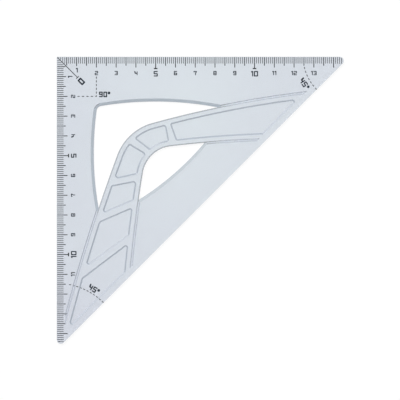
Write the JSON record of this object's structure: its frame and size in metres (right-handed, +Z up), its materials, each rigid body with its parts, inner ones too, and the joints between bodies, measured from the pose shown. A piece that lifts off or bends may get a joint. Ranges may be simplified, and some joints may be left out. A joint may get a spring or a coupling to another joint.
{
  "type": "drafting triangle",
  "caption": "Clear right-angled set square with equal legs, a grip arm moulded across its window, and millimetre scales and angle marks printed on its underside, for drawing and measuring.",
  "frame": {"origin": "the right-angle corner on the underside, where both printed scales start at zero", "axes": "+X along the top scale, +Y up the sheet, so the side scale runs along -Y, and +Z up from the printed underside to the face with the grip arm"},
  "size_m": [0.1451, 0.1451, 0.002],
  "materials": {
    "clear_plastic": "clear gloss",
    "black_print": "matte printed ink"
  },
  "bodies": {
    "root": {"plate": "clear_plastic", "top_scale_millimetre_ticks": "black_print", "top_scale_half_centimetre_ticks": "black_print", "top_scale_centimetre_ticks": "black_print", "side_scale_millimetre_ticks": "black_print", "side_scale_half_centimetre_ticks": "black_print", "side_scale_centimetre_ticks": "black_print", "zero_line": "black_print", "right_angle_dashes": "black_print", "upper_tip_arc_dashes": "black_print", "lower_tip_arc_dashes": "black_print"}
  },
  "joints": []
}
